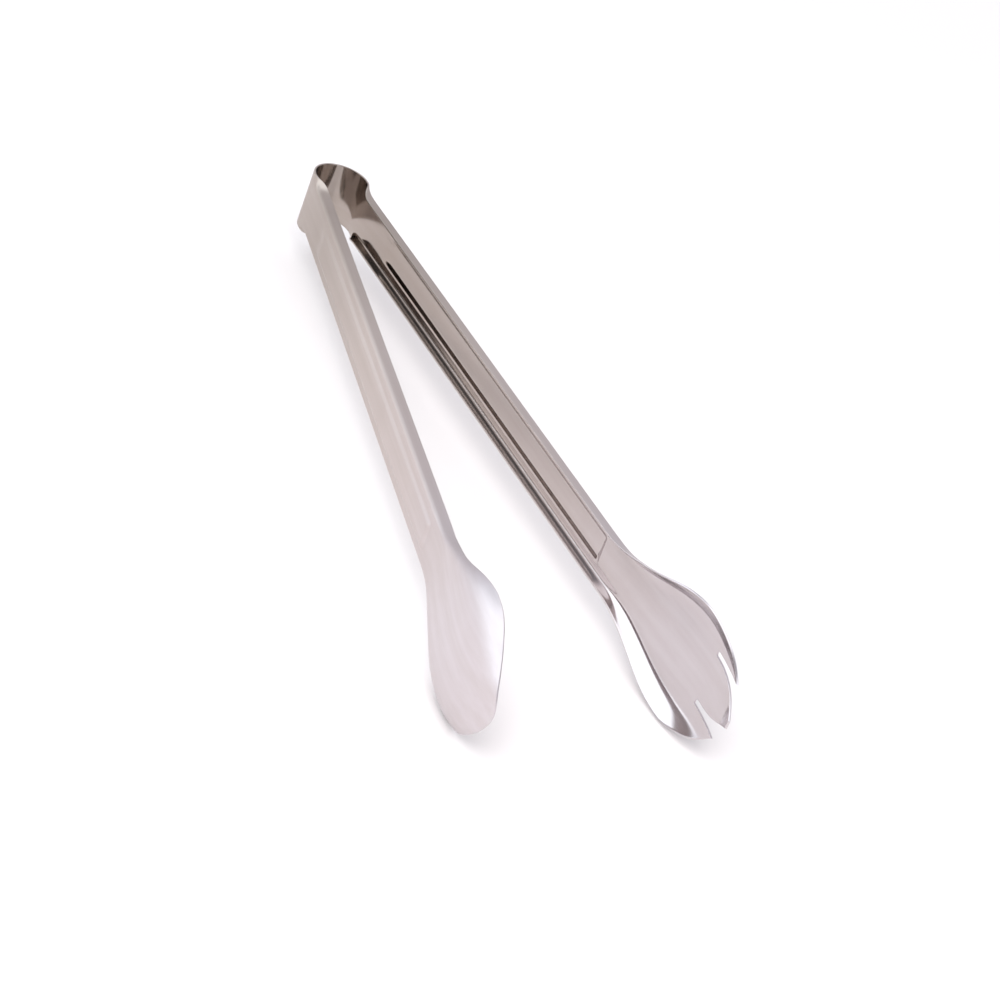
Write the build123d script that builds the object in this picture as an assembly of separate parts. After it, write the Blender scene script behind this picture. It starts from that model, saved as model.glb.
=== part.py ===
from build123d import *
import os
from math import cos, radians, sin

# Salad tongs folded from one stainless steel sheet: a bow, a spoon arm and a fork arm.
# They lie on their side: +Y is towards the bow, the spoon is at -X, the fork at +X,
# and +Z runs across the width. Lengths are in millimetres, angles in degrees.

# Sheet and spread
sheet = 0.6                  # thickness of the steel
half_spread = 5.86           # lean of each arm from the middle plane when relaxed

# Bow
bow_radius = 8.5             # outside of the half-round arch
ribbon_edge = 1.12           # flat strip of the arch's ribbon outside each fold

# Ears, where the ribbon folds into a channel
ear_length = 10.6
right_angle = 90.0

# Arm channel
web_width = 14.5             # over both flanges
flange_height = 3.5          # from the back of the web to the free edge
bend_radius = 1.1            # outside of the fold
neck_to_head = 156.5         # straight channel, from the ears to the head
neck_to_tip = 222.6

# Raised panel along the web
panel_width = 7.4            # at half its rise
panel_rise = 0.6
panel_start = 12.0           # from the ears
panel_end = 154.3            # middle of the sloped end
panel_side_slope = 0.7       # how far each side slope runs
panel_end_slope = 2.0        # how far the slope at each end runs

# Heads
spoon_width = 37.7
spoon_floor_out = 3.8        # how far the deepest floor lies outside the web
fork_width = 36.2
fork_floor_out = 4.0
nose_length = 22.6           # from the widest place to the tip
trim_margin = 0.6            # by which the nose trim clears the widest rim

# Fork slots
slot_depth = 17.8            # from the middle tip back to the root of a slot
slot_root_place = 7.6        # across, from the middle plane to the root
slot_root_width = 1.3
middle_tip_width = 2.4
side_tip_place = 8.4         # across, from the middle plane to the tip of a side tine

# How far cutting shapes reach past the steel
overrun = 6.0

# Places along the ear and how much of the fold is made there
ear_fold_shares = ((0.0, 0.03), (0.3, 0.26), (0.6, 0.62), (0.85, 0.92), (1.0, 1.0))

# Stations along either head: shares of its length and of the channel's straight wall. The
# last one lies just past the tip.
station_shares = (
    (0.000, 1.00),
    (0.045, 1.00),
    (0.130, 0.76),
    (0.210, 0.48),
    (0.370, 0.38),
    (0.510, 0.38),
    (0.660, 0.38),
    (0.765, 0.38),
    (0.855, 0.38),
    (0.932, 0.38),
    (1.038, 0.38),
)

# Each head at those stations: shares of the way out from the web's half width to the head's,
# of the deepest floor, of the flange's height by which the rim lies inside the web, and of
# the right angle that the side wall turns
spoon_shares = (
    (0.000, 0.00, 1.00, 1.00),
    (0.004, 0.00, 0.98, 1.00),
    (0.055, 0.07, 0.80, 0.96),
    (0.205, 0.22, 0.58, 0.92),
    (0.510, 0.56, 0.24, 0.87),
    (0.810, 0.82, 0.17, 0.78),
    (1.000, 1.00, 0.15, 0.66),
    (0.935, 0.98, 0.17, 0.60),
    (0.670, 0.71, 0.27, 0.57),
    (0.270, 0.32, 0.34, 0.52),
    (0.057, -0.38, 0.72, 0.25),
)
fork_shares = (
    (0.000, 0.00, 1.00, 1.00),
    (0.004, 0.01, 0.98, 0.99),
    (0.055, 0.12, 0.81, 0.90),
    (0.175, 0.30, 0.67, 0.82),
    (0.515, 0.62, 0.54, 0.76),
    (0.855, 0.84, 0.35, 0.70),
    (1.000, 1.00, 0.07, 0.59),
    (0.935, 0.93, 0.03, 0.54),
    (0.765, 0.70, 0.06, 0.50),
    (0.490, 0.39, 0.15, 0.46),
    (0.057, -0.42, 0.78, 0.25),
)

# Each nose's outline seen from the back: shares of its length and of the head's half width
spoon_nose_shares = ((0.28, 0.965), (0.57, 0.770), (0.765, 0.555), (0.915, 0.335))
fork_nose_shares = ((0.28, 0.915), (0.57, 0.735), (0.765, 0.495), (0.915, 0.325))

# The middle tine's edge: shares of the slot's depth and of the root's place across
tine_shares = ((0.35, 0.93), (0.63, 0.70), (0.83, 0.42))

head_length = neck_to_tip - neck_to_head
web_half = web_width / 2
channel_wall = flange_height - bend_radius
floor_half = web_half - bend_radius
fold_arc = bend_radius * radians(right_angle)
ribbon_width = 2 * (floor_half + fold_arc + ribbon_edge)
tip_station = ear_length + neck_to_tip


def mirrored(point):
    out, up = point
    return out, -up


def sheet_section(station, floor_width_half, floor_out, radius, turn, wall):
    # Section across the sheet: a flat floor, two bends and two straight walls
    angle = radians(turn)
    bend_centre = floor_out - radius

    def place(reach, turned, along):
        out = bend_centre + reach * cos(turned) - along * sin(turned)
        up = floor_width_half + reach * sin(turned) + along * cos(turned)
        return out, up

    def surface(reach):
        start = place(reach, 0, 0)
        middle = place(reach, angle / 2, 0)
        end = place(reach, angle, 0)
        rim = place(reach, angle, wall)
        Line(mirrored(rim), mirrored(end))
        ThreePointArc(mirrored(end), mirrored(middle), mirrored(start))
        Line(mirrored(start), start)
        ThreePointArc(start, middle, end)
        Line(end, rim)
        return rim

    with BuildSketch(Plane.XZ.offset(station)) as section:
        with BuildLine():
            outer_rim = surface(radius)
            inner_rim = surface(radius - sheet)
            Line(outer_rim, inner_rim)
            Line(mirrored(outer_rim), mirrored(inner_rim))
        make_face()
    return section.sketch


def ear_sections():
    # The flat ribbon's edges fold inwards until they are flanges
    sections = []
    for along, fold in ear_fold_shares:
        wall = ribbon_edge + (channel_wall - ribbon_edge) * fold
        turn = right_angle * fold
        radius = bend_radius / fold
        sections.append(sheet_section(along * ear_length, floor_half, 0, radius, turn, wall))
    return sections


def head_sections(head_half, deepest_out, head_shares):
    # The channel opens out into a bowl with a flat floor and raised sides
    sections = []
    head_start = ear_length + neck_to_head
    for station_row, head_row in zip(station_shares, head_shares):
        along, strip = station_row
        wide, deep, rim, turned = head_row
        turn = right_angle * turned
        wall = channel_wall * strip
        floor_out = deepest_out * deep
        depth = flange_height * rim + floor_out
        radius = (depth - wall * sin(radians(turn))) / (1 - cos(radians(turn)))
        across = web_half + (head_half - web_half) * wide
        floor = across - radius * sin(radians(turn)) - wall * cos(radians(turn))
        station = head_start + along * head_length
        sections.append(sheet_section(station, floor, floor_out, radius, turn, wall))
    return sections


def panel_block(base_out):
    # A long block with sloped sides and ends
    base = Plane.YZ.offset(base_out)
    top = Plane.YZ.offset(base_out + panel_rise)
    length = panel_end - panel_start
    middle = -(ear_length + (panel_start + panel_end) / 2)
    with BuildPart() as block:
        with BuildSketch(base):
            with Locations((middle, 0)):
                Rectangle(length + panel_end_slope, panel_width + panel_side_slope)
        with BuildSketch(top):
            with Locations((middle, 0)):
                Rectangle(length - panel_end_slope, panel_width - panel_side_slope)
        loft()
    return block.part


def nose_outline(head_half, nose_shares):
    # The head's outline from the back, wider than the bowl's own rim up to the widest place
    widest = tip_station - nose_length
    edge = head_half + trim_margin
    nose_points = [(-widest - along * nose_length, head_half * wide) for along, wide in nose_shares]
    near_points = [(-widest, edge)] + nose_points
    far_points = [mirrored(point) for point in reversed(near_points)]
    with BuildSketch(Plane.YZ.offset(-overrun)) as outline:
        with BuildLine():
            Spline(near_points + [(-tip_station, 0)] + far_points)
            Polyline((-widest, -edge), (-ear_length, -edge), (-ear_length, edge), (-widest, edge))
        make_face()
    return outline.sketch


def fork_slot():
    # A slot between the middle tine and a side tine, open at the nose
    root = -tip_station + slot_depth
    inner_root = slot_root_place - slot_root_width / 2
    outer_root = slot_root_place + slot_root_width / 2
    tine_points = [(root - along * slot_depth, inner_root * across) for along, across in tine_shares]
    tine_tip = (-tip_station, middle_tip_width / 2)
    with BuildSketch(Plane.YZ.offset(-overrun)) as slot:
        with BuildLine():
            Spline([(root, inner_root)] + tine_points + [tine_tip])
            Polyline(
                tine_tip,
                (-tip_station - overrun, middle_tip_width / 2),
                (-tip_station - overrun, side_tip_place),
                (-tip_station, side_tip_place),
                (root, outer_root),
            )
            root_end = (root + slot_root_width / 2, slot_root_place)
            ThreePointArc((root, outer_root), root_end, (root, inner_root))
        make_face()
    return slot.sketch


def arm_blank(head_width, deepest_out, head_shares, nose_shares):
    # Ears, straight channel with its raised panel, and a bowl trimmed to its outline
    head_half = head_width / 2
    trim_reach = deepest_out + flange_height + 2 * overrun
    channel_end = sheet_section(ear_length, floor_half, 0, bend_radius, right_angle, channel_wall)
    bowl = loft(head_sections(head_half, deepest_out, head_shares))
    bowl = bowl & extrude(nose_outline(head_half, nose_shares), trim_reach)
    arm = loft(ear_sections()) + extrude(channel_end, neck_to_head) + bowl
    return arm + panel_block(0) - panel_block(-sheet)


def place_arm(arm):
    # An arm starts where the arch ends, on the fork's side, and leans outwards
    lean = radians(half_spread)
    return Pos(bow_radius * cos(lean), bow_radius * sin(lean), 0) * Rot(0, 0, half_spread) * arm


def make_fork_arm():
    blank = arm_blank(fork_width, fork_floor_out, fork_shares, fork_nose_shares)
    slot = extrude(fork_slot(), fork_floor_out + flange_height + 2 * overrun)
    return place_arm(blank - slot - mirror(slot, about=Plane.XY))


def make_spoon_arm():
    blank = arm_blank(spoon_width, spoon_floor_out, spoon_shares, spoon_nose_shares)
    return mirror(place_arm(blank), about=Plane.YZ)


def make_spring_bow():
    # A half-round arch of flat ribbon, which ends where the straight arms touch it
    turn = 2 * right_angle - 2 * half_spread
    outside = CenterArc((0, 0), bow_radius, half_spread, turn)
    inside = CenterArc((0, 0), bow_radius - sheet, half_spread, turn)
    ends = [Line(outside @ end, inside @ end) for end in (0, 1)]
    arch = make_face([outside, inside] + ends)
    return extrude(Pos(0, 0, -ribbon_width / 2) * arch, ribbon_width)


nodes = {
    "spring_bow": make_spring_bow(),
    "spoon_arm": make_spoon_arm(),
    "fork_arm": make_fork_arm(),
}

# The origin is under the middle of the tongs, at the height of the lower rims
extent = Compound(list(nodes.values())).bounding_box()
middle = extent.center()
base = Pos(-middle.X, -middle.Y, -extent.min.Z)

os.makedirs("parts", exist_ok=True)
for name, shape in nodes.items():
    export_step(base * shape, f"parts/{name}.step")
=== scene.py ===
import math

import bmesh
import bpy
import numpy as np
from mathutils import Matrix, Vector


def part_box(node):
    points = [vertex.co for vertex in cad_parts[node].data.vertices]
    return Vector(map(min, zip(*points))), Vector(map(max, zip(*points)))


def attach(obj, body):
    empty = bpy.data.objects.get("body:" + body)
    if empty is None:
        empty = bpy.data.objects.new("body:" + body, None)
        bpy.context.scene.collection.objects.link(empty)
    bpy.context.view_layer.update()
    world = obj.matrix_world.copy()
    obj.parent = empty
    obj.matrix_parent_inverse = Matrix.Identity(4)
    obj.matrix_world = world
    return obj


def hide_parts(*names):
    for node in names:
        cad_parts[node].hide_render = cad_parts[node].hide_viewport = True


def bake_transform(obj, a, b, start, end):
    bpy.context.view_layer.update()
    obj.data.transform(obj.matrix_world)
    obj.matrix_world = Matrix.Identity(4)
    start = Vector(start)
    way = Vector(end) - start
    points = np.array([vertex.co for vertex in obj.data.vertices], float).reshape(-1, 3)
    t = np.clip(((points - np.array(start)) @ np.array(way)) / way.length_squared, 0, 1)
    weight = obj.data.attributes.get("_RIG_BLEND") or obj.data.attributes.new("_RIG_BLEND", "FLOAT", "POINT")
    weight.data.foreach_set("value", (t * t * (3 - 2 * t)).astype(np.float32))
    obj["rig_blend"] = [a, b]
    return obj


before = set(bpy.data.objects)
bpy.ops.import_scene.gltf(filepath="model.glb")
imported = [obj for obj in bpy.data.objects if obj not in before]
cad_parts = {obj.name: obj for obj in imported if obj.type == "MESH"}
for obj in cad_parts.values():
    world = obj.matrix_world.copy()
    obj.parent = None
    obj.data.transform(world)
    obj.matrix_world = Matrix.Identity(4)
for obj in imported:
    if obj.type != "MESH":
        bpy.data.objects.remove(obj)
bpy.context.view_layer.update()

# Salad tongs of one folded steel sheet: a half-round bow, a spoon arm and a fork arm.
# Sizes in the dictionaries are millimetres and degrees; the scene itself is in metres.
mm = 0.001

# Points that a section's half is worked out at: its floor, its fold and its straight wall
floorPoints = 6
foldPoints = 24
wallPoints = 4
outlinePoints = 400

closeBy = 0.001  # places nearer than this are one place
leastFold = 0.0005  # the ears start all but flat

sheetSteel = {
    "thickness": 0.6,
    "rimRounding": 0.13,  # softens the cut edges
    "rimSteps": 2,
    "smoothLevels": 2,
    "softEdge": 48.0,  # edges sharper than this are rounded
    "smoothEdge": 40.0,  # and below this they are shaded smooth
    "mirrorGap": 0.00001,  # in metres: points this close are joined
    "mergeGap": 0.000005,
    "endGap": 0.00002,
}

armChannel = {
    "halfSpread": 5.86,  # lean of each arm from the middle plane
    "bowRadius": 8.5,
    "earLength": 10.6,
    "foldShares": (  # share of the ear's length, and of the fold that is made there
        (0.0, 0.0),
        (0.16, 0.04),
        (0.33, 0.24),
        (0.54, 0.68),
        (0.74, 0.93),
        (0.88, 0.99),
        (1.0, 1.0),
    ),
    "webWidth": 14.5,
    "flangeHeight": 3.5,
    "wallTurn": 87.0,
    "bendRadius": 1.2,
    "ribbonEdge": 1.06,
    "panelTopHalf": 3.25,
    "panelRise": 0.6,
    "panelStart": (11.0, 18.0),  # from the ears: where it begins to rise, and where it is full
    "panelEnd": (153.6, 155.0),
    "neckToHead": 156.5,
    "neckToTip": 222.6,
    "noseLength": 22.6,
    "noseLead": 5.0,  # the outline starts this far before the widest place
    "noseLeadWidth": 0.997,
}

# Stations along a head: share of its length and of the channel's straight wall
stationShares = (
    (0.0, 1.0),
    (0.045, 1.0),
    (0.13, 0.76),
    (0.21, 0.48),
    (0.37, 0.38),
    (0.51, 0.38),
    (0.66, 0.38),
    (0.765, 0.38),
    (0.855, 0.38),
    (0.932, 0.38),
    (1.038, 0.38),
)

# Stations between which the folded channel's section turns into a bowl's
bowlStart = 0.1
bowlFull = 0.5

# Rows of a head: how wide, how deep, how far in the rim lies, how far the wall turns
spoonHead = {
    "width": 37.85,
    "floorOut": 3.8,
    "rows": (
        (0.0, 0.0, 1.0, 1.0),
        (0.004, 0.0, 0.98, 1.0),
        (0.075, 0.07, 0.8, 0.96),
        (0.225, 0.22, 0.529, 0.9),
        (0.525, 0.56, 0.1, 0.8),
        (0.828, 0.85, 0.06, 0.7),
        (1.0, 1.0, 0.27, 0.61),
        (0.935, 0.94, 0.48, 0.58),
        (0.67, 0.68, 0.58, 0.56),
        (0.27, 0.32, 0.5, 0.5),
        (0.057, -0.5, 0.72, 0.25),
    ),
    "bowlTurn": (  # steepens evenly
        (0.0, 0.0),
        (0.25, 0.05),
        (0.5, 0.25),
        (0.75, 0.6),
        (1.0, 1.0),
    ),
    "bowlShare": 0.6,  # the rest of the shape is a plain fold
    "nose": ((0.28, 0.949), (0.57, 0.743), (0.765, 0.515), (0.915, 0.305)),
    "frontShare": 0.56,  # of the half width, where the nose's front begins
    "slots": None,
}

forkHead = {
    "width": 36.2,
    "floorOut": 4.0,
    "rows": (
        (0.0, 0.0, 1.0, 1.0),
        (0.004, 0.01, 0.98, 0.99),
        (0.055, 0.12, 0.81, 0.9),
        (0.175, 0.3, 0.67, 0.82),
        (0.515, 0.62, 0.54, 0.76),
        (0.855, 0.84, 0.35, 0.6),
        (1.0, 1.0, 0.1, 0.48),
        (0.935, 0.93, 0.08, 0.43),
        (0.765, 0.7, 0.1, 0.4),
        (0.49, 0.39, 0.17, 0.38),
        (0.057, -0.42, 0.78, 0.25),
    ),
    "bowlTurn": (  # creased halfway up
        (0.0, 0.0),
        (0.2, 0.14),
        (0.38, 0.32),
        (0.52, 0.68),
        (0.7, 0.86),
        (1.0, 1.0),
    ),
    "bowlShare": 1.0,
    "nose": ((0.28, 0.915), (0.57, 0.735), (0.765, 0.495), (0.915, 0.325)),
    "frontShare": 0.48,
    "slots": {
        "depth": 17.8,
        "rootPlace": 7.6,
        "rootWidth": 1.6,
        "middleTipHalf": 1.2,
        "sideTipPlace": 8.4,
        "sideTipWidth": 0.3,
        "tine": ((0.35, 0.93), (0.63, 0.7), (0.83, 0.42)),
    },
}

# Places across half of the sheet, from the middle to the rim
gridPlan = {
    "floorPlaces": (0.0, 1.7, 2.7, 3.25, 4.25, 4.9),  # then the fold's start
    "foldSteps": 5,
    "headSpread": (0, 0.11, 0.23, 0.33, 0.41, 0.5, 0.58, 0.66, 0.73, 0.8, 0.86, 0.915, 0.96, 1.0),
    "slotInner": 3,  # column that follows a slot's inner edge
    "slotOuter": 4,
    "earRows": 10,
    "neckRows": 4,
    "slopeRows": 5,
    "panelRows": 15,
    "panelEdge": (0.5, 0.4),  # rows this near to the panel's end slope keep it crisp
    "headRows": 26,
    "headBlend": 0.62,  # share of the way to the widest place, over which the columns spread out
    "rootRows": 3,
    "noseRows": 13,
    "bowSteps": 26,
}


def deselectAll():
    if bpy.context.mode != "OBJECT":
        bpy.ops.object.mode_set(mode="OBJECT")
    for obj in list(bpy.context.selected_objects):
        obj.select_set(False)


def makeActive(obj):
    deselectAll()
    obj.select_set(True)
    bpy.context.view_layer.objects.active = obj


def curveThrough(places, values):
    # A smooth curve through the given values, as a function of the place
    x = np.asarray(places, float)
    y = np.asarray(values, float)
    if y.ndim == 1:
        y = y[:, None]
    count = len(x)
    step = np.diff(x)
    matrix = np.eye(count)
    right = np.zeros_like(y)
    for i in range(1, count - 1):
        matrix[i, i - 1 : i + 2] = step[i - 1], 2 * (step[i - 1] + step[i]), step[i]
        right[i] = 6 * ((y[i + 1] - y[i]) / step[i] - (y[i] - y[i - 1]) / step[i - 1])
    bend = np.linalg.solve(matrix, right)

    def at(place):
        i = int(np.clip(np.searchsorted(x, place) - 1, 0, count - 2))
        h = step[i]
        a, b = (x[i + 1] - place) / h, (place - x[i]) / h
        curve = (a**3 - a) * bend[i] + (b**3 - b) * bend[i + 1]
        value = a * y[i] + b * y[i + 1] + curve * h * h / 6
        return value if len(value) > 1 else float(value[0])

    return at


def sectionLine(floorHalf, floorOut, radius, turn, wall):
    # Half a section across the sheet, as rows of out and across: flat floor, fold, straight wall
    floor = [(floorOut, floorHalf * share) for share in np.linspace(0, 1, floorPoints + 1)[:-1]]
    fold = [
        (floorOut - radius * (1 - math.cos(angle)), floorHalf + radius * math.sin(angle))
        for angle in np.linspace(0, turn, foldPoints + 1)
    ]
    endOut, endAcross = fold[-1]
    rim = [
        (endOut - wall * share * math.sin(turn), endAcross + wall * share * math.cos(turn))
        for share in np.linspace(0, 1, wallPoints + 1)[1:]
    ]
    return np.array(floor + fold + rim)


def bowlLine(across, depth, floorOut, turn, profile):
    # Half a bowl's section: a floor that curves up to the rim, its slope given by the profile
    count = foldPoints + wallPoints
    slopes = turn * np.array([profile(share) for share in (np.arange(count) + 0.5) / count])
    length = depth / np.mean(np.sin(slopes))
    outs = floorOut - np.concatenate([[0], np.cumsum(np.sin(slopes))]) * length / count
    places = np.concatenate([[0], np.cumsum(np.cos(slopes))]) * length / count
    floorHalf = across - places[-1]
    floor = [(floorOut, floorHalf * share) for share in np.linspace(0, 1, floorPoints + 1)[:-1]]
    return np.array(floor + list(zip(outs, places + floorHalf)))


def lengthsAlong(line):
    steps = np.linalg.norm(np.diff(line, axis=0), axis=1)
    return np.concatenate([[0], np.cumsum(steps)])


def sectionPoint(line, along):
    # The point that is this far along the sheet from the middle: out and across
    lengths = lengthsAlong(line)
    out = np.interp(along, lengths, line[:, 0])
    return float(out), float(np.interp(along, lengths, line[:, 1]))


def sectionOut(line, across):
    return float(np.interp(across, line[:, 1], line[:, 0]))


def makeSections(channel, head):
    # The section at any station: folding ears, then the channel, then the head
    wallTurn = math.radians(channel["wallTurn"])
    bendRadius = channel["bendRadius"]
    floorHalf = channel["webWidth"] / 2 - bendRadius
    foldHeight = bendRadius * (1 - math.cos(wallTurn))
    channelWall = (channel["flangeHeight"] - foldHeight) / math.sin(wallTurn)
    channelLine = sectionLine(floorHalf, 0.0, bendRadius, wallTurn, channelWall)
    rimHalf = channelLine[-1, 1]
    headHalf = head["width"] / 2
    headStart = channel["earLength"] + channel["neckToHead"]
    headLength = channel["neckToTip"] - channel["neckToHead"]
    foldAt = curveThrough(*zip(*channel["foldShares"]))
    profile = curveThrough(*zip(*head["bowlTurn"]))
    headLines = []
    for (station, strip), (wide, deep, rim, turned) in zip(stationShares, head["rows"]):
        turn = wallTurn * turned
        wall = channelWall * strip
        floorOut = head["floorOut"] * deep
        depth = channel["flangeHeight"] * rim + floorOut
        radius = (depth - wall * math.sin(turn)) / (1 - math.cos(turn))
        across = rimHalf + (headHalf - rimHalf) * wide
        floor = across - radius * math.sin(turn) - wall * math.cos(turn)
        folded = sectionLine(floor, floorOut, radius, turn, wall)
        bowl = bowlLine(across, depth, floorOut, turn, profile)
        mix = head["bowlShare"] * smoothStep((station - bowlStart) / (bowlFull - bowlStart))
        headLines.append((folded * (1 - mix) + bowl * mix).ravel())
    headAt = curveThrough([station for station, strip in stationShares], headLines)

    def sectionAt(along):
        if along > headStart:
            return headAt((along - headStart) / headLength).reshape(-1, 2)
        if along >= channel["earLength"]:
            return channelLine
        fold = min(max(foldAt(along / channel["earLength"]), leastFold), 1)
        wall = channel["ribbonEdge"] + (channelWall - channel["ribbonEdge"]) * fold
        return sectionLine(floorHalf, 0.0, bendRadius / fold, wallTurn * fold, wall)

    return sectionAt


def noseOutline(channel, head):
    # The nose seen from the back, as two lookups: across by place, and place by across
    half = head["width"] / 2
    widest = channel["earLength"] + channel["neckToTip"] - channel["noseLength"]
    near = [(widest - channel["noseLead"], half * channel["noseLeadWidth"]), (widest, half)]
    near += [(widest + a * channel["noseLength"], half * b) for a, b in head["nose"]]
    points = near + [(widest + channel["noseLength"], 0.0)] + [(a, -b) for a, b in reversed(near)]
    points = np.array(points)
    reach = np.concatenate([[0], np.cumsum(np.linalg.norm(np.diff(points, axis=0), axis=1))])
    at = curveThrough(reach, points)
    fine = np.array([at(place) for place in np.linspace(0, reach[-1], 2 * outlinePoints + 1)])
    fine = fine[: outlinePoints + 1]

    def acrossAt(along):
        return float(np.interp(along, fine[:, 0], fine[:, 1]))

    def alongAt(across):
        return float(np.interp(across, fine[::-1, 1], fine[::-1, 0]))

    return widest, acrossAt, alongAt


def channelPlaces(channel, line, plan):
    # Where the columns lie along the sheet: the panel's edges, the fold and the wall
    floorHalf = channel["webWidth"] / 2 - channel["bendRadius"]
    scale = line[floorPoints, 1] / floorHalf
    steps = plan["foldSteps"]
    lengths = lengthsAlong(line)
    foldStart, foldEnd, rim = lengths[floorPoints], lengths[floorPoints + foldPoints], lengths[-1]
    folds = [foldStart + (foldEnd - foldStart) * step / steps for step in range(steps + 1)]
    return [place * scale for place in plan["floorPlaces"]] + folds + [(foldEnd + rim) / 2, rim]


def smoothStep(value):
    value = min(max(value, 0), 1)
    return value * value * (3 - 2 * value)


def armPlaces(channel, head, plan):
    # Rows of (out, along, across) for half of the sheet, from the neck to the tip
    sectionAt = makeSections(channel, head)
    widest, acrossAt, alongAt = noseOutline(channel, head)
    headStart = channel["earLength"] + channel["neckToHead"]
    panelFoot, panelStart = (channel["earLength"] + place for place in channel["panelStart"])
    panelEnd, panelEndFoot = (channel["earLength"] + place for place in channel["panelEnd"])
    stations = [channel["earLength"] * row / plan["earRows"] for row in range(plan["earRows"] + 1)]
    stations += list(np.linspace(channel["earLength"], panelFoot, plan["neckRows"] + 1)[1:])
    stations += list(np.linspace(panelFoot, panelStart, plan["slopeRows"] + 1)[1:])
    stations += list(np.linspace(panelStart, panelEnd, plan["panelRows"] + 1)[1:-1])
    before, after = plan["panelEdge"]
    stations += [panelEnd - before, panelEnd, panelEndFoot, panelEndFoot + after, headStart]
    count = plan["headRows"]
    stations += [headStart + (widest - headStart) * row / count for row in range(1, count + 1)]
    rows = []
    for along in stations:
        section = sectionAt(along)
        total = lengthsAlong(section)[-1]
        channelSide = channelPlaces(channel, section, plan)
        mix = smoothStep((along - headStart) / (widest - headStart) / plan["headBlend"])
        row = []
        for inChannel, inHead in zip(channelSide, plan["headSpread"]):
            out, across = sectionPoint(section, inChannel * (1 - mix) + inHead * total * mix)
            if across <= channel["panelTopHalf"] + closeBy:
                rise = smoothStep((along - panelFoot) / (panelStart - panelFoot))
                rise *= smoothStep((panelEndFoot - along) / (panelEndFoot - panelEnd))
                out += channel["panelRise"] * rise
            row.append((out, along, across))
        rows.append(row)

    # The nose: every column runs on to the outline's front
    lastAcross = [place[2] for place in rows[-1]]
    columns = len(lastAcross)
    slots = head["slots"]
    root = channel["earLength"] + channel["neckToTip"] - (slots or forkHead["slots"])["depth"]
    inner, outer = plan["slotInner"], plan["slotOuter"]
    half = lastAcross[-1]
    if slots:
        innerRoot = slots["rootPlace"] - slots["rootWidth"] / 2
        outerRoot = slots["rootPlace"] + slots["rootWidth"] / 2
        tine = [(0.0, 1.0)] + list(slots["tine"]) + [(1.0, slots["middleTipHalf"] / innerRoot)]
        tineAt = curveThrough(*zip(*tine))
        corner = slots["sideTipPlace"] + slots["sideTipWidth"]
    else:
        corner = head["frontShare"] * half
    cornerAlong = alongAt(corner)

    def nosePlace(share, column):
        # share runs from 0 at the root row to 1 at the front
        start = lastAcross[column]
        if not slots:
            endAcross = corner * start / half
            endAlong = alongAt(endAcross)
            along = root + (endAlong - root) * share
            rimAlong = root + (cornerAlong - root) * share
            shrink = (acrossAt(rimAlong) - corner) / (half - corner)
            return along, endAcross + (start - endAcross) * shrink
        if column <= inner:
            part = start / lastAcross[inner]
            endAlong = alongAt(slots["middleTipHalf"] * part)
            return root + (endAlong - root) * share, innerRoot * tineAt(share) * part
        part = (column - outer) / (columns - 1 - outer)
        spread = (start - lastAcross[outer]) / (half - lastAcross[outer])
        spread = spread * (1 - share) + part * share
        endAlong = alongAt(slots["sideTipPlace"] + slots["sideTipWidth"] * part)
        along = root + (endAlong - root) * share
        rimAlong = root + (cornerAlong - root) * share
        inside = outerRoot + (slots["sideTipPlace"] - outerRoot) * share
        return along, inside + (acrossAt(rimAlong) - inside) * spread

    def addNoseRow(share, along=None):
        row = []
        for column in range(columns):
            if along is None:
                place, across = nosePlace(share, column)
            else:
                place = along
                rootAcross = nosePlace(0, column)[1]
                across = lastAcross[column] + (rootAcross - lastAcross[column]) * share
                if column == columns - 1:
                    across = acrossAt(along)
            row.append((sectionOut(sectionAt(place), across), place, across))
        rows.append(row)

    for step in range(1, plan["rootRows"] + 1):
        share = step / plan["rootRows"]
        addNoseRow(share, widest + (root - widest) * share)
    rootRow = len(rows) - 1
    for step in range(1, plan["noseRows"] + 1):
        addNoseRow(step / plan["noseRows"])
    return rows, rootRow


def moveGroups(obj, groups):
    # Selects each group of points and moves it by its own amount
    makeActive(obj)
    bpy.ops.object.mode_set(mode="EDIT")
    bpy.ops.mesh.select_mode(type="VERT")
    bpy.ops.mesh.select_all(action="DESELECT")
    for amount, indices in groups:
        mesh = bmesh.from_edit_mesh(obj.data)
        mesh.verts.ensure_lookup_table()
        for index in indices:
            mesh.verts[index].select = True
        bmesh.update_edit_mesh(obj.data, loop_triangles=False, destructive=False)
        bpy.ops.transform.translate(value=amount)
        mesh = bmesh.from_edit_mesh(obj.data)
        mesh.verts.ensure_lookup_table()
        for index in indices:
            mesh.verts[index].select = False
        mesh.select_flush(False)
    bpy.ops.object.mode_set(mode="OBJECT")


def addModifier(obj, name, kind, **settings):
    modifier = obj.modifiers.new(name, kind)
    for key, value in settings.items():
        setattr(modifier, key, value)
    makeActive(obj)
    bpy.ops.object.modifier_apply(modifier=modifier.name)


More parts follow.
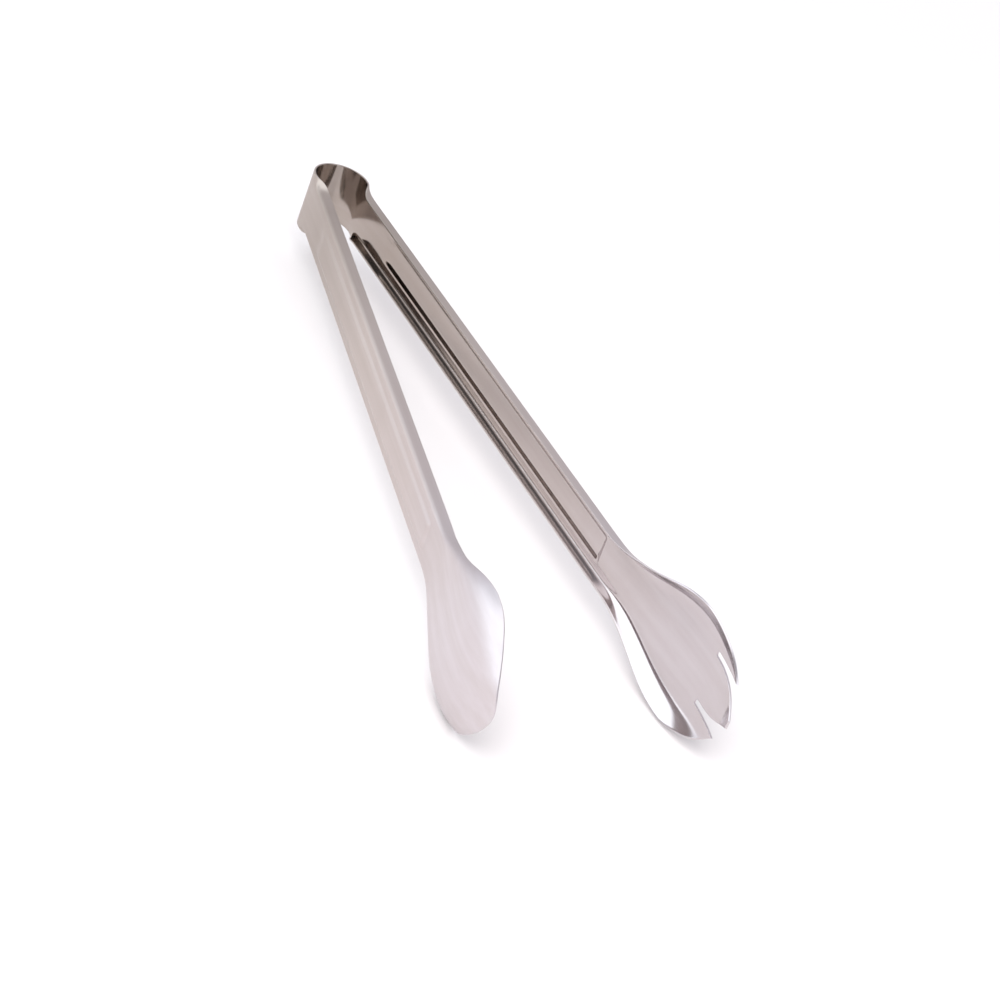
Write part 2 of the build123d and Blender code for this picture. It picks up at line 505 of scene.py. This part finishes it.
def finishSheet(obj, endPlanes):
    # Mirrors the half, gives it its thickness, softens the cut edges and smooths it
    addModifier(
        obj,
        "bothHalves",
        "MIRROR",
        use_axis=(False, False, True),
        merge_threshold=sheetSteel["mirrorGap"],
    )
    makeActive(obj)
    bpy.ops.object.mode_set(mode="EDIT")
    bpy.ops.mesh.select_all(action="SELECT")
    bpy.ops.mesh.remove_doubles(threshold=sheetSteel["mergeGap"])
    bpy.ops.mesh.normals_make_consistent(inside=False)
    bpy.ops.object.mode_set(mode="OBJECT")
    first = max(obj.data.polygons, key=lambda face: face.center.y)
    if first.normal.dot(outwardAt(obj, first)) < 0:
        makeActive(obj)
        bpy.ops.object.mode_set(mode="EDIT")
        bpy.ops.mesh.select_all(action="SELECT")
        bpy.ops.mesh.flip_normals()
        bpy.ops.object.mode_set(mode="OBJECT")
    obj.vertex_groups.new(name="inside")
    addModifier(
        obj,
        "thickness",
        "SOLIDIFY",
        thickness=sheetSteel["thickness"] * mm,
        offset=-1.0,
        use_even_offset=True,
        use_rim=True,
        shell_vertex_group="inside",
    )
    makeActive(obj)
    bpy.ops.object.mode_set(mode="EDIT")
    bpy.ops.mesh.select_mode(type="EDGE")
    bpy.ops.mesh.select_all(action="DESELECT")
    mesh = bmesh.from_edit_mesh(obj.data)

    gap = sheetSteel["endGap"]
    softEdge = math.radians(sheetSteel["softEdge"])

    def onEnd(edge):
        return any(
            all(abs((vert.co - Vector(point)).dot(Vector(normal))) < gap for vert in edge.verts)
            for point, normal in endPlanes
        )

    for edge in mesh.edges:
        if len(edge.link_faces) == 2 and edge.calc_face_angle() > softEdge and not onEnd(edge):
            edge.select = True
    bmesh.update_edit_mesh(obj.data)
    bpy.ops.mesh.bevel(
        offset=sheetSteel["rimRounding"] * mm,
        offset_type="OFFSET",
        segments=sheetSteel["rimSteps"],
        profile=0.5,
    )
    bpy.ops.mesh.select_all(action="DESELECT")
    mesh = bmesh.from_edit_mesh(obj.data)
    for edge in mesh.edges:
        if onEnd(edge):
            edge.select = True
    bmesh.update_edit_mesh(obj.data)
    bpy.ops.transform.edge_crease(value=1.0)
    bpy.ops.object.mode_set(mode="OBJECT")
    levels = sheetSteel["smoothLevels"]
    addModifier(obj, "smoothing", "SUBSURF", levels=levels, render_levels=levels)
    makeActive(obj)
    bpy.ops.object.shade_smooth_by_angle(angle=math.radians(sheetSteel["smoothEdge"]))


def markSheet(obj, across):
    # Each point's place on the flat sheet, and whether it lies on the back, for the material
    radius = armChannel["bowRadius"] * mm
    lean = math.radians(armChannel["halfSpread"])
    places, backs = [], []
    for vert in obj.data.vertices:
        out, along = vert.co.x, vert.co.y
        if obj["sheetKind"] == "bow":
            out, along = 0.0, radius * (math.atan2(along, out) - lean)
        places.extend((out, along, vert.co.z * across))
        backs.append(1 - min(sum(item.weight for item in vert.groups), 1))
    obj.vertex_groups.clear()
    attributes = obj.data.attributes
    attributes.new("sheetPlace", "FLOAT_VECTOR", "POINT").data.foreach_set("vector", places)
    attributes.new("backSide", "FLOAT", "POINT").data.foreach_set("value", backs)


def outwardAt(obj, face):
    # The tongs' arms turn their backs away from the bow's middle
    if obj.get("sheetKind") == "bow":
        return Vector((face.center.x, face.center.y, 0))
    return Vector((1, 0, 0))


def makeArm(name, head, turnOver):
    rows, rootRow = armPlaces(armChannel, head, gridPlan)
    rowCount, columnCount = len(rows), len(rows[0])
    deselectAll()
    bpy.ops.mesh.primitive_grid_add(
        x_subdivisions=columnCount - 1,
        y_subdivisions=rowCount - 1,
        size=1,
        rotation=(0, math.pi / 2, 0),
    )
    obj = bpy.context.active_object
    obj.name = name
    obj.data.name = name
    bpy.ops.object.transform_apply(location=True, rotation=True, scale=True)
    heights = sorted({round(vert.co.z, 5) for vert in obj.data.vertices})
    lengths = sorted({round(vert.co.y, 5) for vert in obj.data.vertices}, reverse=True)
    print(name, "blank has", len(lengths), "rows and", len(heights), "columns")
    groups = {}
    for vert in obj.data.vertices:
        column = min(range(columnCount), key=lambda i: abs(heights[i] - vert.co.z))
        row = min(range(rowCount), key=lambda i: abs(lengths[i] - vert.co.y))
        out, along, across = rows[row][column]
        goal = Vector((out * mm, -along * mm, across * mm))
        amount = goal - vert.co
        key = tuple(round(value, 7) for value in amount)
        groups.setdefault(key, []).append(vert.index)
    moveGroups(obj, list(groups.items()))
    if head["slots"]:
        cutSlots(obj, rows, rootRow)
    obj["sheetKind"] = "arm"
    finishSheet(obj, [((0, 0, 0), (0, 1, 0))])
    markSheet(obj, -1 if turnOver else 1)
    lean = math.radians(armChannel["halfSpread"])
    radius = armChannel["bowRadius"] * mm
    place = archCentre + Vector((radius * math.cos(lean), radius * math.sin(lean), 0))
    turned = Matrix.Translation(place) @ Matrix.Rotation(lean, 4, "Z")
    if turnOver:
        turned = (
            Matrix.Translation(archCentre)
            @ Matrix.Rotation(math.pi, 4, "Y")
            @ Matrix.Translation(place - archCentre)
            @ Matrix.Rotation(lean, 4, "Z")
        )
    obj.matrix_world = turned
    makeActive(obj)
    bpy.ops.object.transform_apply(location=True, rotation=True, scale=True)
    print(name, "made with", len(obj.data.polygons), "faces from", len(groups), "moves")
    return obj


def cutSlots(obj, rows, rootRow):
    # The faces between a slot's two edges are cut away, from its root to the nose
    inner, outer = gridPlan["slotInner"], gridPlan["slotOuter"]
    makeActive(obj)
    bpy.ops.object.mode_set(mode="EDIT")
    bpy.ops.mesh.select_mode(type="FACE")
    bpy.ops.mesh.select_all(action="DESELECT")
    mesh = bmesh.from_edit_mesh(obj.data)
    wanted = set()
    for index in range(rootRow, len(rows) - 1):
        corners = [rows[i][column] for i in (index, index + 1) for column in (inner, outer)]
        centre = sum((Vector((o, -a, c)) for o, a, c in corners), Vector()) / 4 * mm
        face = min(mesh.faces, key=lambda item: (item.calc_center_median() - centre).length)
        wanted.add(face)
    for face in wanted:
        face.select = True
    bmesh.update_edit_mesh(obj.data)
    bpy.ops.mesh.delete(type="FACE")
    bpy.ops.object.mode_set(mode="OBJECT")


def makeBowHalf(name, side):
    # A flat strip of ribbon is spun from the neck to the crown
    lean = math.radians(armChannel["halfSpread"])
    radius = armChannel["bowRadius"] * mm
    sectionAt = makeSections(armChannel, spoonHead)
    ribbon = sectionAt(0)
    places = [sectionPoint(ribbon, place) for place in channelPlaces(armChannel, ribbon, gridPlan)]
    deselectAll()
    bpy.ops.mesh.primitive_grid_add(
        x_subdivisions=len(places) - 1, y_subdivisions=1, size=1, rotation=(0, math.pi / 2, 0)
    )
    obj = bpy.context.active_object
    obj.name = name
    obj.data.name = name
    bpy.ops.object.transform_apply(location=True, rotation=True, scale=True)
    heights = sorted({round(vert.co.z, 5) for vert in obj.data.vertices})
    bpy.ops.object.mode_set(mode="EDIT")
    bpy.ops.mesh.select_mode(type="VERT")
    bpy.ops.mesh.select_all(action="DESELECT")
    mesh = bmesh.from_edit_mesh(obj.data)
    for vert in mesh.verts:
        vert.select = vert.co.y < 0
    mesh.select_flush(False)
    bmesh.update_edit_mesh(obj.data)
    bpy.ops.mesh.delete(type="VERT")
    bpy.ops.object.mode_set(mode="OBJECT")
    groups = []
    for vert in obj.data.vertices:
        column = min(range(len(heights)), key=lambda i: abs(heights[i] - vert.co.z))
        out, across = places[column]
        goal = Vector((radius + out * mm, 0, across * mm))
        groups.append((tuple(goal - vert.co), [vert.index]))
    moveGroups(obj, groups)
    makeActive(obj)
    bpy.ops.object.mode_set(mode="EDIT")
    bpy.ops.mesh.select_all(action="SELECT")
    bpy.ops.transform.rotate(value=-lean, orient_axis="Z", center_override=(0, 0, 0))
    mesh = bmesh.from_edit_mesh(obj.data)
    angles = [math.degrees(math.atan2(vert.co.y, vert.co.x)) for vert in mesh.verts]
    print(name, "starts from", round(min(angles), 2), "to", round(max(angles), 2), "degrees")
    bpy.ops.mesh.spin(
        steps=gridPlan["bowSteps"],
        angle=lean - math.pi / 2,
        center=(0, 0, 0),
        axis=(0, 0, 1),
        dupli=False,
    )
    mesh = bmesh.from_edit_mesh(obj.data)
    angles = [math.degrees(math.atan2(vert.co.y, vert.co.x)) for vert in mesh.verts]
    print(name, "runs from", round(min(angles), 2), "to", round(max(angles), 2), "degrees")
    bpy.ops.object.mode_set(mode="OBJECT")
    obj["sheetKind"] = "bow"
    ends = [((0, 0, 0), (1, 0, 0)), ((0, 0, 0), (-math.sin(lean), math.cos(lean), 0))]
    finishSheet(obj, ends)
    markSheet(obj, side)
    turned = Matrix.Translation(archCentre)
    if side < 0:
        turned = turned @ Matrix.Rotation(math.pi, 4, "Y")
    obj.matrix_world = turned
    makeActive(obj)
    bpy.ops.object.transform_apply(location=True, rotation=True, scale=True)
    print(name, "made with", len(obj.data.polygons), "faces")
    return obj


bowLow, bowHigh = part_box("spring_bow")
bowMiddle = (bowLow + bowHigh) / 2
archCentre = Vector((bowMiddle.x, bowHigh.y - armChannel["bowRadius"] * mm, bowMiddle.z))
print("arch centre", [round(value, 5) for value in archCentre])

spoonArm = makeArm("spoonArm", spoonHead, True)
forkArm = makeArm("forkArm", forkHead, False)
bowSpoonHalf = makeBowHalf("bowSpoonHalf", -1)
bowForkHalf = makeBowHalf("bowForkHalf", 1)


class Sock:
    # A socket that takes part in sums
    tree = None

    def __init__(self, socket):
        self.socket = socket

    def math(self, operation, other=None, swapped=False):
        first, second = (other, self) if swapped else (self, other)
        values = [first] if second is None else [first, second]
        return addNode("ShaderNodeMath", {"operation": operation}, dict(enumerate(values)))

    def __add__(self, other):
        return self.math("ADD", other)

    def __radd__(self, other):
        return self.math("ADD", other, True)

    def __sub__(self, other):
        return self.math("SUBTRACT", other)

    def __rsub__(self, other):
        return self.math("SUBTRACT", other, True)

    def __mul__(self, other):
        return self.math("MULTIPLY", other)

    def __rmul__(self, other):
        return self.math("MULTIPLY", other, True)


def addNode(kind, settings=None, values=None, output=0):
    # One node: its settings first, then its sockets' values or links
    node = Sock.tree.nodes.new(kind)
    for key, value in (settings or {}).items():
        if key == "stops":
            ramp = node.color_ramp
            while len(ramp.elements) < len(value):
                ramp.elements.new(0.5)
            for element, (place, shade) in zip(ramp.elements, value):
                element.position = place
                element.color = shade
        else:
            setattr(node, key, value)
    for key, value in (values or {}).items():
        if isinstance(value, Sock):
            Sock.tree.links.new(value.socket, node.inputs[key])
        else:
            node.inputs[key].default_value = value
    return Sock(node.outputs[output])


def mixColour(factor, first, second):
    # The mix node keeps its colour sockets behind the number and vector ones
    values = {0: factor, 6: first, 7: second}
    return addNode("ShaderNodeMix", {"data_type": "RGBA"}, values, output=2)


steelLook = {
    "tintWithPaintedShade": (  # the steel's own warm tint with painted shade, darker towards the bow and lighter at the heads; along the sheet: share of the way from the neck to the tip
        (0.0, (0.45, 0.395, 0.36, 1)),
        (0.08, (0.4, 0.345, 0.31, 1)),
        (0.36, (0.523, 0.46, 0.43, 1)),
        (0.62, (0.558, 0.495, 0.48, 1)),
        (0.85, (0.6, 0.555, 0.572, 1)),
    ),
    "streakShade": (0.9, 0.88, 0.86, 1),
    "streakAcross": 330.0,  # soft rolling streaks along the sheet
    "streakAlong": 7.0,
    "cloudScale": 60.0,
    "wearParts": (0.6, 0.25, 0.15),  # of the streaks, clouds and grain in the wear
    "wearStart": 0.35,
    "wearContrast": 3.0,
    "noiseDetail": (3.0, 2.0, 3.0),  # of the grain, the streaks and the clouds
    "noiseRoughness": 0.55,
    "insideRoughness": 0.13,
    "backRoughness": 0.4,  # the back is a duller satin
    "roughnessSpread": 0.07,
    "grainAcross": 2600.0,  # fine polishing lines run along the sheet
    "grainAlong": 60.0,
    "bumpHeight": 0.000004,
    "bumpStrength": 0.35,
}


def linkTo(shader, name, value):
    Sock.tree.links.new(value.socket, shader.inputs[name])


def stretchedNoise(place, across, along, detail, look):
    scale = (across, along, across)
    stretched = addNode("ShaderNodeMapping", {}, {"Vector": place, "Scale": scale})
    values = {"Vector": stretched, "Scale": 1.0, "Detail": detail}
    values["Roughness"] = look["noiseRoughness"]
    return addNode("ShaderNodeTexNoise", {}, values)


def makeSteel(look):
    steel = bpy.data.materials.new("polishedSteel")
    steel.use_nodes = True
    Sock.tree = steel.node_tree
    shader = steel.node_tree.nodes["Principled BSDF"]
    shader.inputs["Metallic"].default_value = 1.0
    place = addNode("ShaderNodeAttribute", {"attribute_name": "sheetPlace"}, output="Vector")
    back = addNode("ShaderNodeAttribute", {"attribute_name": "backSide"}, output="Fac")
    grainDetail, streakDetail, cloudDetail = look["noiseDetail"]
    grain = stretchedNoise(place, look["grainAcross"], look["grainAlong"], grainDetail, look)
    streak = stretchedNoise(place, look["streakAcross"], look["streakAlong"], streakDetail, look)
    clouds = {"Vector": place, "Scale": look["cloudScale"], "Detail": cloudDetail}
    cloud = addNode("ShaderNodeTexNoise", {}, clouds)
    split = addNode("ShaderNodeSeparateXYZ", {}, {0: place}, output="Y")
    length = (armChannel["earLength"] + armChannel["neckToTip"]) * mm
    # painted shade and light: the steel's base colour is darker towards the bow and lighter at the heads
    paintedShadeTint = addNode("ShaderNodeValToRGB", {"stops": look["tintWithPaintedShade"]}, {"Fac": split * (-1 / length)})
    inStreak, inCloud, inGrain = look["wearParts"]
    wear = streak * inStreak + cloud * inCloud + grain * inGrain
    wear = (wear - look["wearStart"]) * look["wearContrast"]
    shade = mixColour(wear, (1, 1, 1, 1), look["streakShade"])
    settings = {"data_type": "RGBA", "blend_type": "MULTIPLY"}
    colour = addNode("ShaderNodeMix", settings, {0: 1.0, 6: paintedShadeTint, 7: shade}, output=2)
    linkTo(shader, "Base Color", colour)
    base = look["insideRoughness"] + back * (look["backRoughness"] - look["insideRoughness"])
    patchy = cloud * 0.5 + grain * 0.5 - 0.5
    linkTo(shader, "Roughness", base + patchy * look["roughnessSpread"])
    values = {"Strength": look["bumpStrength"], "Distance": look["bumpHeight"], "Height": grain}
    linkTo(shader, "Normal", addNode("ShaderNodeBump", {}, values, output="Normal"))
    return steel


polishedSteel = makeSteel(steelLook)
for piece in (spoonArm, forkArm, bowSpoonHalf, bowForkHalf):
    piece.data.materials.clear()
    piece.data.materials.append(polishedSteel)

crown = archCentre + Vector((0, armChannel["bowRadius"] * mm, 0))
lean = math.radians(armChannel["halfSpread"])
neckOffset = Vector((math.cos(lean), math.sin(lean), 0)) * armChannel["bowRadius"] * mm
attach(spoonArm, "spoon_side")
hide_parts("spoon_arm")
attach(forkArm, "fork_side")
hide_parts("fork_arm")
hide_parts("spring_bow")
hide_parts("spring_bow")
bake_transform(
    bowSpoonHalf,
    "bow",
    "spoon_side",
    start=tuple(crown),
    end=tuple(archCentre + Vector((-neckOffset.x, neckOffset.y, 0))),
)
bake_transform(bowForkHalf, "bow", "fork_side", start=tuple(crown), end=tuple(archCentre + neckOffset))
print("pieces placed on their bodies")

studio = {
    "floorSize": 4.0,
    "floorColour": (0.74, 0.70, 0.69, 1),
    "floorRoughness": 0.9,
    "brightSide": (-0.85, -0.4, 0.35),  # the room is bright on this side of its middle
    "roomStops": (
        (0.0, (0.80, 0.79, 0.84, 1)),
        (0.49, (0.86, 0.85, 0.91, 1)),
        (0.53, (1.05, 1.06, 1.14, 1)),
        (0.58, (1.6, 1.7, 1.8, 1)),
        (0.75, (2.0, 2.12, 2.22, 1)),
    ),
    "dimPlaces": (  # directions in which the room is dimmer, and how far the dimness spreads
        (
            (-0.47, -0.814, 0.342),
            ((0.86, (1, 1, 1, 1)), (0.97, (0.22, 0.21, 0.21, 1))),
        ),
        (
            (-0.499, 0.704, 0.505),
            ((0.9945, (1, 1, 1, 1)), (0.9974, (0.4, 0.4, 0.42, 1)), (0.999, (0.06, 0.06, 0.07, 1))),
        ),
        (
            (-0.534, 0.655, 0.534),
            ((0.9945, (1, 1, 1, 1)), (0.9974, (0.4, 0.4, 0.42, 1)), (0.999, (0.12, 0.12, 0.13, 1))),
        ),
        (
            (-0.566, 0.593, 0.573),
            ((0.9945, (1, 1, 1, 1)), (0.9974, (0.6, 0.6, 0.62, 1)), (0.999, (0.35, 0.35, 0.37, 1))),
        ),
    ),
    "lamps": {  # place, size, power in watts and colour
        "softPanel": ((-0.2, -0.3, 0.4), 0.3, 1.6, (1.0, 0.985, 0.97)),
    },
}

photoView = {
    "sensorWidth": 36.0,
    "lens": 97.2,
    "right": (0.88716, -0.32758, 0.32502),
    "forward": (0.45632, 0.72769, -0.5121),
    "place": (-0.31458, -0.53874, 0.37427),
    "clip": (0.01, 20),
}


def makeFloor(settings):
    deselectAll()
    bpy.ops.mesh.primitive_plane_add(size=settings["floorSize"], location=(0, 0, 0))
    floor = bpy.context.active_object
    floor.name = "floor"
    shade = bpy.data.materials.new("palePaper")
    shade.use_nodes = True
    principled = shade.node_tree.nodes["Principled BSDF"]
    principled.inputs["Base Color"].default_value = settings["floorColour"]
    principled.inputs["Roughness"].default_value = settings["floorRoughness"]
    floor.data.materials.append(shade)


def makeLights(settings):
    world = bpy.data.worlds.new("studio")
    world.use_nodes = True
    bpy.context.scene.world = world
    Sock.tree = world.node_tree
    direction = addNode("ShaderNodeTexCoord", output="Generated")

    def roomLight(side, stops):
        towards = {0: direction, 1: side}
        product = {"operation": "DOT_PRODUCT"}
        facing = addNode("ShaderNodeVectorMath", product, towards, output="Value")
        return addNode("ShaderNodeValToRGB", {"stops": stops}, {"Fac": facing * 0.5 + 0.5})

    light = roomLight(settings["brightSide"], settings["roomStops"])
    blend = {"data_type": "RGBA", "blend_type": "MULTIPLY"}
    for side, stops in settings["dimPlaces"]:
        values = {0: 1.0, 6: light, 7: roomLight(side, stops)}
        light = addNode("ShaderNodeMix", blend, values, output=2)
    world.node_tree.links.new(light.socket, world.node_tree.nodes["Background"].inputs["Color"])
    for name, (place, size, power, colour) in settings["lamps"].items():
        data = bpy.data.lights.new(name, "AREA")
        data.shape = "SQUARE"
        data.size = size
        data.energy = power
        data.color = colour
        lamp = bpy.data.objects.new(name, data)
        bpy.context.scene.collection.objects.link(lamp)
        lamp.location = place
        lamp.visible_glossy = False
        lamp.rotation_mode = "QUATERNION"
        lamp.rotation_quaternion = (-lamp.location).to_track_quat("-Z", "Y")


def makeCamera(view):
    data = bpy.data.cameras.new("camera")
    data.sensor_width = view["sensorWidth"]
    data.lens = view["lens"]
    camera = bpy.data.objects.new("camera", data)
    bpy.context.scene.collection.objects.link(camera)
    right = Vector(view["right"])
    forward = Vector(view["forward"])
    up = right.cross(forward)
    right = forward.cross(up).normalized()
    place = Vector(view["place"])
    turned = Matrix((right, up.normalized(), -forward.normalized())).transposed().to_4x4()
    camera.matrix_world = Matrix.Translation(place) @ turned
    data.clip_start, data.clip_end = view["clip"]
    bpy.context.scene.camera = camera
    bpy.context.scene.view_settings.view_transform = "Standard"


makeFloor(studio)
makeLights(studio)
makeCamera(photoView)
print("floor, lights and camera set")
